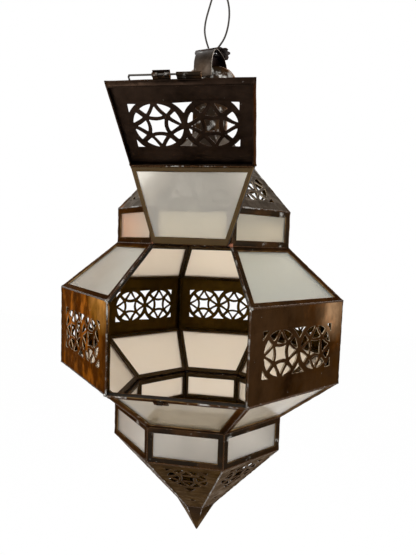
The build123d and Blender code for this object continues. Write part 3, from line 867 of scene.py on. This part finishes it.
def glass_finish(name, outside, painted_warm_left, inside=None):
    """Frosted glass: greenish and smooth outside, warmer and darker towards the left as painted warm
    lamp light; etched and paler on its inner face, its warm cream partly painted warm light from
    behind.
    """
    if name in bpy.data.materials:
        return bpy.data.materials[name]
    material, tree, shader = new_material(name)
    c = colours()
    inner = inner_face(tree)
    inside = inside or tuple(c.glass_inside)
    cloud = patches(tree, 14.0, 0.5, 0.3)
    place = linked(tree, "ShaderNodeTexCoord")
    parts = linked(tree, "ShaderNodeSeparateXYZ", Vector=place.outputs["Object"])
    # painted light: towards the left side the outer face turns to the second colour, a warm lamp's
    # light painted into the glass
    left_light_share = linked(tree, "ShaderNodeMapRange", Value=parts.outputs["X"])
    left_light_share.inputs["From Min"].default_value = -0.03
    left_light_share.inputs["From Max"].default_value = -0.10
    own = blended(tree, left_light_share.outputs["Result"], tuple(outside), tuple(painted_warm_left))
    outside = blended(tree, linked(tree, "ShaderNodeMath", _operation="MULTIPLY", i0=cloud,
                                   i1=0.12).outputs[0], own, (0.55, 0.52, 0.44))
    tree.links.new(blended(tree, inner, outside, inside), shader.inputs["Base Color"])
    smear = patches(tree, 30.0, 0.55, 0.2)
    rough = linked(tree, "ShaderNodeMath", _operation="MULTIPLY_ADD",
                   i0=inner, i1=0.36, i2=ranged(tree, smear, 0.30, 0.42))
    tree.links.new(rough.outputs[0], shader.inputs["Roughness"])
    shader.inputs["Transmission Weight"].default_value = 0.86
    shader.inputs["IOR"].default_value = 1.5
    shader.inputs["Coat Weight"].default_value = 0.35
    shader.inputs["Coat Roughness"].default_value = 0.08
    return material


def strap_finish():
    """The crown's strap: brown-grey on the faces away from the axis, dark maroon on the faces inside
    the arch.
    """
    name = "Strap tin"
    if name in bpy.data.materials:
        return bpy.data.materials[name]
    material, tree, shader = new_material(name)
    c = colours()
    grey = blended(tree, patches(tree, 60.0, 0.52, 0.2), (0.022, 0.015, 0.010),
                   (0.055, 0.042, 0.032))
    bright = blended(tree, patches(tree, 110.0, 0.66, 0.05), grey, tuple(0.8 * v for v in c.solder))
    tree.links.new(blended(tree, inner_face(tree), bright, (0.020, 0.009, 0.007)),
                   shader.inputs["Base Color"])
    tree.links.new(ranged(tree, patches(tree, 150.0, 0.5, 0.2), 0.28, 0.42),
                   shader.inputs["Roughness"])
    shader.inputs["Metallic"].default_value = 1.0
    beaten = linked(tree, "ShaderNodeGroup", _node_tree=beaten_group(), Dents=0.4, Grain=0.2)
    bumped(tree, shader, beaten.outputs["Height"], 0.4, 0.0012)
    return material


def plain_finish(name, colour, metallic, rough, grain, depth):
    """A simpler finish: one colour with its own small changes in tone, gloss and height."""
    if name in bpy.data.materials:
        return bpy.data.materials[name]
    material, tree, shader = new_material(name)
    tone = patches(tree, grain, 0.5, 0.2)
    tree.links.new(blended(tree, tone, tuple(0.75 * v for v in colour), tuple(colour)),
                   shader.inputs["Base Color"])
    tree.links.new(ranged(tree, tone, rough, rough + 0.12), shader.inputs["Roughness"])
    shader.inputs["Metallic"].default_value = metallic
    beaten = linked(tree, "ShaderNodeGroup", _node_tree=beaten_group(), Dents=0.2, Grain=1.0)
    bumped(tree, shader, beaten.outputs["Height"], 0.4, depth)
    return material


# ---------------------------------------------------------------- pierced sheet
def pierced_sheet(name, row, cuts, matrix, rng, skin, rim, side_gap=0.0, back=None):
    """A pierced sheet with its folded flange, cut flat by hand and set in its place."""
    s = sizes()
    inset = SEAM_INSET["sheet"] if side_gap == 0 else DOOR_INSET
    edge = divided(outline(row, inset, side_gap), 6 * MM)
    holes = [by_hand(points, rng) for points in cuts]
    sheet = cut_sheet(name, [edge] + holes, s.sheet, 0.42 * MM)
    sheet.data.transform(Matrix.Translation((0, 0, -s.sheet / 2)))
    sheet.data.materials.clear()
    back = back or skin
    for material in (skin, rim, back):
        sheet.data.materials.append(material)
    margin = 5 * MM
    low, high = outline(row, margin)[0], outline(row, margin)[2]
    for polygon in sheet.data.polygons:
        centre = polygon.center
        share = (centre.y - low[1]) / (high[1] - low[1])
        reach = -low[0] + (high[0] + low[0]) * share
        inside = low[1] < centre.y < high[1] and abs(centre.x) < reach
        # the outward bevels of the cuts take the rim finish, raw tin with a painted highlight
        rim_with_painted_highlight = inside and 0.15 < polygon.normal.z < 0.93
        polygon.material_index = 1 if rim_with_painted_highlight else 2 if polygon.normal.z < 0.15 else 0
    fold = 1.5 * MM
    flange = cut_sheet(name + "_flange", [edge, divided(outline(row, inset + fold, side_gap), 6 * MM)],
                       s.came_depth - s.sheet, 0.2 * MM)
    flange.data.transform(Matrix.Translation((0, 0, -(s.came_depth + s.sheet) / 2)))
    flange.data.materials.clear()
    flange.data.materials.append(back)
    panel = mitred(joined([sheet, flange], name), row)
    panel.data.transform(matrix)
    for shift, grain in SHEET_WARP:
        uneven(panel, shift, grain)
    return panel


class LANTERN_OT_pierced_panels(bpy.types.Operator):
    """Cuts the pierced panels of the roof, the wide drum, the door and the tip"""

    bl_idname = "lantern.pierced_panels"
    bl_label = "Pierced panels"

    def execute(self, context):
        rng = random.Random(sizes().seed)
        length = slope_length(TIP)
        upside_down = [[(x, -y) for x, y in reversed(points)] for points in gable_cuts(False)]
        drum = [moved(points, 0, slope_length(DRUM) / 2) for points in drum_cuts()]
        # both rim finishes carry a painted highlight, the dull one in fewer patches
        bright, dull = cut_edge_and_highlight_finish(), cut_edge_and_highlight_finish("Dull cut edge", 0.70)
        rows = (
            ("roof_panel", ROOF, [moved(p, 0, 35.5 * MM) for p in gable_cuts(True)], 1,
             sheet_finish("Roof sheet", (0.022, 0.015, 0.010), (0.95, 0.88, 0.80, 1.0), -0.075),
             bright),
            ("drum_panel", DRUM, drum, 2, sheet_finish(), bright),
            ("tip_panel", TIP, [moved(p, 0, length - 34 * MM) for p in upside_down], 1,
             tip_sheet(), dull),
        )
        for name, row, cuts, first, skin, rim in rows:
            for number in range(first, SIDES + 1):
                node = f"{name}_{number}"
                panel = pierced_sheet("pierced_" + node, row, cuts, face_matrix(row, number - 1),
                                      rng, skin, rim)
                finished(panel, None, BODY, [node])
        panel = pierced_sheet("pierced_door_panel", DRUM, drum, door_matrix() @ face_matrix(DRUM, 0),
                              rng, sheet_finish("Door sheet", both_sides=True), dull, DOOR_SIDE_GAP,
                              sheet_finish("Inner door sheet", (0.016, 0.0096, 0.0064),
                                           both_sides=True))
        finished(panel, None, DOOR, ["door_panel"])
        return {"FINISHED"}


# ---------------------------------------------------------------- cames and panes
def came_blank(name, row, side_gap=0.0):
    """A glazing came round one pane, drawn flat, its edges rounded."""
    s = sizes()
    inset = SEAM_INSET["came"] if side_gap == 0 else DOOR_INSET
    inner_inset = s.came_width if side_gap == 0 else s.came_width + 1.3 * MM
    frame_outlines = [divided(outline(row, inset, side_gap), 5 * MM),
                      divided(outline(row, inner_inset), 5 * MM)]
    blank = cut_sheet(name, frame_outlines, s.came_depth, 1.0 * MM, rounding=2)
    blank.data.transform(Matrix.Translation((0, 0, -s.came_depth / 2 + 0.2 * MM)))
    # the came's front and back bevels take the edge wear finish, with its painted highlight
    banded(blank, ((0.92, came_finish()), (0.2, edge_wear_and_highlight_finish()),
                   (-0.2, plain_finish("Soot", tuple(colours().soot), 0.5, 0.5, 60.0, 0.0004)),
                   (-0.92, edge_wear_and_highlight_finish("Inner came edge", 0.9)), (-2, inside_finish())))
    return mitred(blank, row)


class LANTERN_OT_cames(bpy.types.Operator):
    """Makes the glazing cames of the four rows of panes and of the door"""

    bl_idname = "lantern.cames"
    bl_label = "Glazing cames"

    def execute(self, context):
        rows = (("upper_drum_cames", UPPER_DRUM, 0), ("shoulder_cames", SHOULDER, 1),
                ("lower_slope_cames", LOWER_SLOPE, 0), ("lower_drum_cames", LOWER_DRUM, 0))
        for node, row, first in rows:
            blank = came_blank(node + "_blank", row)
            frames = [copied(blank, f"{node}_{index}", face_matrix(row, index))
                      for index in range(first, SIDES)]
            bpy.data.objects.remove(blank)
            shift = CAME_WARP_AT_HINGE if row == UPPER_DRUM else CAME_WARP
            cames = uneven(joined(frames, "dressed_" + node), shift, CAME_GRAIN)
            finished(smoothed(cames, 40), None, BODY, [node])
        blank = came_blank("door_came_blank", SHOULDER, DOOR_SIDE_GAP)
        came = copied(blank, "dressed_door_came", door_matrix() @ face_matrix(SHOULDER, 0))
        bpy.data.objects.remove(blank)
        uneven(came, CAME_WARP, CAME_GRAIN)
        finished(smoothed(came, 40), None, DOOR, ["door_came"])
        return {"FINISHED"}


class LANTERN_OT_panes(bpy.types.Operator):
    """Gives the frosted panes their glass"""

    bl_idname = "lantern.panes"
    bl_label = "Frosted panes"

    def execute(self, context):
        clear = tuple(colours().glass_outside)
        # the last colour of each row is painted warm lamp light on the left side; on the upper drum it
        # is a strong orange reflection
        repainted("upper_drum_panes", glass_finish(
            "Upper drum glass", (0.74, 0.70, 0.57), (1.0, 0.42, 0.11)))
        repainted("shoulder_panes", glass_finish("Shoulder glass", clear, (0.43, 0.34, 0.20)))
        # painted shade: the lower slope's glass is darker because the row faces down, away from the
        # light
        repainted("lower_slope_panes", glass_finish(
            "Lower slope glass", (0.46, 0.37, 0.22), (0.44, 0.34, 0.20)))
        repainted("lower_drum_panes", glass_finish(
            "Lower drum glass", (1.0, 0.94, 0.84), (0.42, 0.29, 0.17)))
        # the door stands open, so the side away from the axis is its inner face
        repainted("door_pane", glass_finish(
            "Door glass", (1.0, 0.93, 0.82), (1.0, 0.93, 0.82), (0.86, 0.86, 0.76)))
        return {"FINISHED"}


def repainted(node, material):
    """Gives a CAD node that stays a better material."""
    data = frame["nodes"][node].data
    data.materials.clear()
    data.materials.append(material)


# ---------------------------------------------------------------- solder
def corner_point(ring, index, inward=0.0):
    """A corner of a ring, between face index - 1 and face index, drawn in towards the axis."""
    side, height = rings()[ring]
    angle = (index - 0.5) * TURN - math.pi / 2
    radius = apothem(side) / math.cos(TURN / 2) - inward
    return Vector((radius * math.cos(angle), radius * math.sin(angle), height))


def bead_line(start, end, radius, rng, spacing=3.6 * MM):
    """Points and thicknesses along one seam, lumpy and fatter at its ends."""
    count = max(3, round((end - start).length / spacing))
    line = []
    for step in range(count + 1):
        share = step / count
        at_end = max(0.0, 1 - min(share, 1 - share) * (end - start).length / (5 * MM))
        size = radius * (0.78 + 0.3 * rng.random() + 0.25 * at_end)
        jitter = Vector([rng.uniform(-1, 1) for _ in range(3)]) * 0.12 * MM
        line.append((start.lerp(end, share) + jitter, size / radius))
    return line


def beads(name, lines, radius, matrix=None):
    """Beads of solder along several lines, as one smooth mesh."""
    bpy.ops.curve.primitive_nurbs_path_add()
    obj = bpy.context.object
    obj.name = name
    curve = obj.data
    curve.splines.clear()
    curve.bevel_depth = radius
    curve.bevel_resolution = 2
    curve.use_fill_caps = True
    for line in lines:
        spline = curve.splines.new("POLY")
        spline.points.add(len(line) - 1)
        for point, (place, size) in zip(spline.points, line):
            point.co = (*place, 1)
            point.radius = size
    mesh = tidied(as_mesh(obj))
    if matrix is not None:
        mesh.data.transform(matrix)
    only(mesh)
    bpy.ops.object.shade_smooth()
    return mesh


class LANTERN_OT_solder(bpy.types.Operator):
    """Runs solder along every seam of the lantern and of its door"""

    bl_idname = "lantern.solder"
    bl_label = "Solder seams"

    def execute(self, context):
        s = sizes()
        rng = random.Random(s.seed)
        dark, bright = [], []
        for ring in range(1, TIP + 2):
            for index in range(SIDES):
                if ring in (SHOULDER, DRUM, DRUM + 1) and index == 0:
                    continue                      # the hinge, the door's own fold and the sill
                (bright if ring == 1 else dark).append(bead_line(
                    corner_point(ring, index, SUNK), corner_point(ring, index + 1, SUNK),
                    0.9 * s.bead, rng))
        low = Vector((0, 0, -0.6 * MM))
        left, right = (corner_point(DRUM + 1, index, 0.5 * MM) + low for index in (0, 1))
        for start, end in zip((left, right), LATCH_SPAN):
            bright.append(bead_line(start, Vector((end, start.y, start.z)), 0.5 * MM, rng))
        for row in range(TIP + 1):
            for index in range(SIDES):
                at_doorway = row in (SHOULDER, DRUM) and index in (0, 1)
                (bright if at_doorway or row in (ROOF, TIP) else dark).append(bead_line(
                    corner_point(row, index, SUNK), corner_point(row + 1, index, SUNK),
                    s.bead, rng))
        for index in range(SIDES):
            dark.append(bead_line(corner_point(ROOF, index, 0.4 * MM),
                                  corner_point(ROOF, index + 1, 0.4 * MM), 1.2 * MM, rng))
        tip_point = Vector((0, 0, TIP_LOW.z + 1.2 * MM))
        for index in range(SIDES):
            bright.append([(place, size * (0.4 + 0.6 * (1 - step / 14)))
                           for step, (place, size) in enumerate(bead_line(
                               corner_point(TIP + 1, index, SUNK), tip_point, s.bead, rng)[:-1])])
        for ring, index in ((DRUM, 0), (DRUM, 1), (DRUM, 7), (DRUM + 1, 0), (DRUM + 1, 1),
                            (DRUM + 1, 7), (SHOULDER, 0), (LOWER_DRUM, 1), (TIP, 0), (TIP, 1)):
            place = corner_point(ring, index, 0.9 * MM)
            if index in (0, 1) and ring in (SHOULDER, DRUM, DRUM + 1):
                place.x += math.copysign(1.2 * MM, place.x)      # clear of the shut door
            step = Vector((1.3 * MM, 0, 0.4 * MM))
            bright.append([(place - step, 1.0), (place, 1.9), (place + step, 1.1)])
        finished(beads("dark_seams", dark, s.bead), solder_finish(), BODY)
        finished(beads("bright_seams", bright, s.bead), solder_finish("Bright seam", 0.57), BODY)

        gap = Vector((DOOR_SIDE_GAP, 0, 0))
        left, right = corner_point(DRUM, 0, SUNK) + gap, corner_point(DRUM, 1, SUNK) - gap
        (narrow, top_z), (wide, fold_z) = rings()[SHOULDER], rings()[DRUM]
        length = slope_length(SHOULDER)
        inner_drop = s.came_depth * (length - (top_z - fold_z)) / (apothem(wide) - apothem(narrow))
        inward = Vector((0, s.came_depth - 0.2 * MM, -inner_drop))
        step_in = Vector((3 * MM, 0, 0))
        door = beads("door_solder", [
            bead_line(left, right, s.bead, rng),
            bead_line(left + inward + step_in, right + inward - step_in, s.bead, rng)],
            s.bead, door_matrix())
        finished(door, solder_finish("Door seam", 0.62), DOOR)
        return {"FINISHED"}


# ---------------------------------------------------------------- crown and loop
LOOP_SIDE = [(-7.4, -73.0), (-3.4, -72.9), (-3.4, -68.0), (-8.0, -56.5), (-10.8, -46.0),
             (-11.0, -38.0), (-9.4, -28.5), (-5.8, -17.0), (-2.4, -6.0), (1.0, 0.4), (6.5, 1.1),
             (12.6, -3.0), (17.2, -12.0), (19.6, -23.0), (19.8, -34.0), (18.2, -45.0),
             (14.8, -55.0), (9.6, -62.0), (3.4, -68.0), (3.4, -72.9), (7.4, -73.0)]
CROWN_TURN = math.radians(-12.6)


class LANTERN_OT_hanging_loop(bpy.types.Operator):
    """Bends the wire loop that the lantern hangs by"""

    bl_idname = "lantern.hanging_loop"
    bl_label = "Hanging loop"

    def execute(self, context):
        bpy.ops.curve.primitive_nurbs_path_add()
        obj = bpy.context.object
        obj.name = "wire_loop"
        curve = obj.data
        curve.splines.clear()
        spline = curve.splines.new("NURBS")
        spline.points.add(len(LOOP_SIDE) - 1)
        for point, (x, z) in zip(spline.points, LOOP_SIDE):
            point.co = (x * MM, 0, z * MM, 1)
        spline.order_u = 3
        spline.use_endpoint_u = True
        spline.resolution_u = 10
        curve.bevel_depth = sizes().loop_wire
        curve.bevel_resolution = 3
        curve.use_fill_caps = True
        loop = tidied(as_mesh(obj))
        loop.data.transform(Matrix.Rotation(CROWN_TURN, 4, "Z"))
        only(loop)
        bpy.ops.object.shade_smooth()
        finished(loop, plain_finish("Iron wire", (0.045, 0.04, 0.035), 1.0, 0.35, 180.0, 0.0004),
                 LOOP, ["hanging_loop"])
        return {"FINISHED"}


def dressed_copy(node, name, round_edge, degrees=35):
    """A copy of a CAD node's mesh with its points merged and its edges rounded."""
    obj = copied(frame["nodes"][node], name, Matrix.Identity(4))
    only(obj)
    bpy.ops.object.mode_set(mode="EDIT")
    bpy.ops.mesh.select_all(action="SELECT")
    bpy.ops.mesh.remove_doubles(threshold=0.00001)
    bpy.ops.mesh.dissolve_limited(angle_limit=math.radians(1))
    bpy.ops.object.mode_set(mode="OBJECT")
    bevel = obj.modifiers.new("Rounded edges", "BEVEL")
    bevel.width = round_edge
    bevel.segments = 2
    bevel.limit_method = "ANGLE"
    bevel.angle_limit = math.radians(30)
    bpy.ops.object.modifier_apply(modifier=bevel.name)
    return smoothed(obj, degrees)


class LANTERN_OT_crown(bpy.types.Operator):
    """Dresses the neck, the dome cap, the strap and the rosette"""

    bl_idname = "lantern.crown"
    bl_label = "Crown"

    def execute(self, context):
        neck = dressed_copy("neck", "dressed_neck", 0.6 * MM)
        finished(neck, came_finish("Neck tin", 0.62), BODY, ["neck"])
        dome = dressed_copy("dome_cap", "beaten_dome", 0.5 * MM, 60)
        finished(uneven(dome, 0.4 * MM, 9 * MM), came_finish("Dome tin", 0.54), BODY,
                 ["dome_cap"])
        strap = dressed_copy("crown_strap", "bent_strap", 0.25 * MM, 40)
        strap.data.materials.clear()
        # partly painted highlight: the strap's cut edges are pale, as raw tin and as a highlight along
        # the edge
        edge_metal = plain_finish("Strap edge", (0.50, 0.42, 0.35), 1.0, 0.35, 120.0, 0.0003)
        for material in (strap_finish(), edge_metal):
            strap.data.materials.append(material)
        across = Vector((math.cos(CROWN_TURN), math.sin(CROWN_TURN), 0))
        for polygon in strap.data.polygons:
            polygon.material_index = int(polygon.normal.dot(across) > 0.6)
        finished(uneven(strap, 0.25 * MM, 16 * MM), None, BODY, ["crown_strap"])
        rosette = dressed_copy("crown_rosette", "beaten_rosette", 0.2 * MM, 40)
        rosette_tin = plain_finish("Rosette tin", (0.032, 0.018, 0.012), 1.0, 0.34, 140.0, 0.0010)
        finished(uneven(rosette, 0.6 * MM, 6 * MM), rosette_tin, BODY,
                 ["crown_rosette"])
        cap = dressed_copy("tip_cap", "pointed_cap", 0.4 * MM)
        finished(cap, tip_sheet(), BODY, ["tip_cap"])
        return {"FINISHED"}


class LANTERN_OT_fittings(bpy.types.Operator):
    """Gives the hinge, the latch and the lampholder their finishes"""

    bl_idname = "lantern.fittings"
    bl_label = "Fittings"

    def execute(self, context):
        for node in ("hinge_leaves_drum", "hinge_leaf_door", "bolt_guides", "sill_keeper"):
            repainted(node, came_finish("Fittings tin", 0.66))
        repainted("latch_bolt", plain_finish("Bolt wire", (0.10, 0.09, 0.08), 1.0, 0.3, 200.0, 0.0003))
        repainted("hinge_pin", plain_finish("Copper pin", (0.42, 0.17, 0.10), 1.0, 0.4, 200.0, 0.0004))
        for node in ("cable_nipple", "nipple_nuts"):
            repainted(node, plain_finish("Zinc", (0.5, 0.5, 0.48), 1.0, 0.35, 150.0, 0.0003))
        for node in ("lampholder_cap", "lampholder_body"):
            repainted(node, plain_finish("Moulded black", (0.02, 0.02, 0.02), 0.0, 0.4, 90.0, 0.0003))
        return {"FINISHED"}


# ---------------------------------------------------------------- stage
class LanternStage(bpy.types.PropertyGroup):
    """Camera, lamps and floor."""

    camera_place: FloatVectorProperty(
        name="Camera", description="Where the camera stands", subtype="TRANSLATION", size=3,
        default=(79.0 * MM, -514.7 * MM, -298.3 * MM))
    camera_yaw: FloatProperty(
        name="Yaw", description="Turn of the camera to the left", subtype="ANGLE",
        default=math.radians(8.3))
    camera_pitch: FloatProperty(
        name="Pitch", description="How far the camera looks down", subtype="ANGLE",
        default=math.radians(4.6))
    camera_roll: FloatProperty(
        name="Roll", description="Turn of the camera about its own line", subtype="ANGLE",
        default=math.radians(1.95))
    lens: FloatProperty(
        name="Lens", description="Focal length in mm for a 36 mm sensor", default=27.05)
    floor_z: FloatProperty(
        name="Floor", description="Height of the floor under the hanging lantern",
        unit="LENGTH", default=-1.60)
    light: FloatProperty(
        name="Room light", description="Strength of the light from all round", default=1.0)


class LANTERN_OT_stage(bpy.types.Operator):
    """Sets up the camera, the floor, the lamps and the pale surroundings"""

    bl_idname = "lantern.stage"
    bl_label = "Stage"

    def execute(self, context):
        scene = context.scene
        stage = scene.lantern_stage
        bpy.ops.object.camera_add(location=stage.camera_place)
        camera = context.object
        camera.name = "camera"
        turn = (Matrix.Rotation(stage.camera_yaw, 3, "Z")
                @ Matrix.Rotation(math.pi / 2 - stage.camera_pitch, 3, "X")
                @ Matrix.Rotation(stage.camera_roll, 3, "Z"))
        camera.rotation_euler = turn.to_euler()
        camera.data.lens = stage.lens
        camera.data.clip_start = 0.01
        scene.camera = camera

        bpy.ops.mesh.primitive_plane_add(size=12, location=(0, 0, stage.floor_z))
        floor = context.object
        floor.name = "floor"
        floor.data.materials.append(self.floor_paint())
        self.surroundings(scene, stage)
        lamps = (("key_lamp", (-0.9, -1.3, 0.5), 1.0, 12.0),
                 ("fill_lamp", (1.3, -0.9, 0.1), 0.9, 6.0),
                 ("back_lamp", (0.3, 1.4, 0.6), 1.0, 8.0))
        aim = (CAD_BOX[0] + CAD_BOX[1]) / 2
        for name, place, size, power in lamps:
            bpy.ops.object.light_add(type="AREA", location=place)
            lamp = context.object
            lamp.name = name
            lamp.data.size = size
            lamp.data.energy = power
            lamp.rotation_euler = (aim - Vector(place)).to_track_quat("-Z", "Y").to_euler()
        scene.view_settings.view_transform = "Standard"
        return {"FINISHED"}

    def floor_paint(self):
        material, tree, shader = new_material("Pale floor")
        shader.inputs["Base Color"].default_value = (*colours().floor, 1.0)
        shader.inputs["Roughness"].default_value = 0.9
        white = linked(tree, "ShaderNodeEmission", Color=(1, 1, 1, 1), Strength=1.0)
        path = linked(tree, "ShaderNodeLightPath")
        share = linked(tree, "ShaderNodeMath", _operation="MULTIPLY",
                       i0=path.outputs["Is Camera Ray"], i1=0.95)
        mix = linked(tree, "ShaderNodeMixShader", Fac=share.outputs[0])
        tree.links.new(shader.outputs[0], mix.inputs[1])
        tree.links.new(white.outputs[0], mix.inputs[2])
        tree.links.new(mix.outputs[0], tree.nodes["Material Output"].inputs["Surface"])
        return material

    def surroundings(self, scene, stage):
        world = scene.world or bpy.data.worlds.new("World")
        scene.world = world
        world.use_nodes = True
        tree = world.node_tree
        background = tree.nodes["Background"]
        background.inputs["Color"].default_value = (1, 1, 1, 1)
        path = linked(tree, "ShaderNodeLightPath")
        seen = linked(tree, "ShaderNodeMath", _operation="MAXIMUM",
                      i0=path.outputs["Is Camera Ray"], i1=path.outputs["Is Transmission Ray"])
        seen_all = linked(tree, "ShaderNodeMath", _operation="MAXIMUM",
                          i0=seen.outputs[0], i1=path.outputs["Is Glossy Ray"])
        strength = ranged(tree, seen_all.outputs[0], stage.light, 1.0)
        tree.links.new(strength, background.inputs["Strength"])


# ---------------------------------------------------------------- the add-on
OPERATORS = (LANTERN_OT_stage, LANTERN_OT_pierced_panels, LANTERN_OT_cames, LANTERN_OT_panes,
             LANTERN_OT_solder, LANTERN_OT_crown, LANTERN_OT_hanging_loop, LANTERN_OT_fittings)


class LANTERN_PT_panel(bpy.types.Panel):
    """Lists the lantern's operators in the sidebar"""

    bl_idname = "LANTERN_PT_panel"
    bl_label = "Lantern"
    bl_space_type = "VIEW_3D"
    bl_region_type = "UI"
    bl_category = "Lantern"

    def draw(self, context):
        for operator in OPERATORS:
            self.layout.operator(operator.bl_idname)


SETTINGS = (("lantern_sizes", LanternSizes), ("lantern_colours", LanternColours),
            ("lantern_stage", LanternStage))


def register():
    for name, settings in SETTINGS:
        bpy.utils.register_class(settings)
        setattr(bpy.types.Scene, name, PointerProperty(type=settings))
    for operator in OPERATORS:
        bpy.utils.register_class(operator)
    bpy.utils.register_class(LANTERN_PT_panel)


def unregister():
    bpy.utils.unregister_class(LANTERN_PT_panel)
    for operator in reversed(OPERATORS):
        bpy.utils.unregister_class(operator)
    for name, settings in reversed(SETTINGS):
        delattr(bpy.types.Scene, name)
        bpy.utils.unregister_class(settings)


def main():
    register()
    bpy.ops.lantern.stage()
    bpy.ops.lantern.pierced_panels()
    bpy.ops.lantern.cames()
    bpy.ops.lantern.panes()
    bpy.ops.lantern.solder()
    bpy.ops.lantern.crown()
    bpy.ops.lantern.hanging_loop()
    bpy.ops.lantern.fittings()


if __name__ == "__main__":
    main()
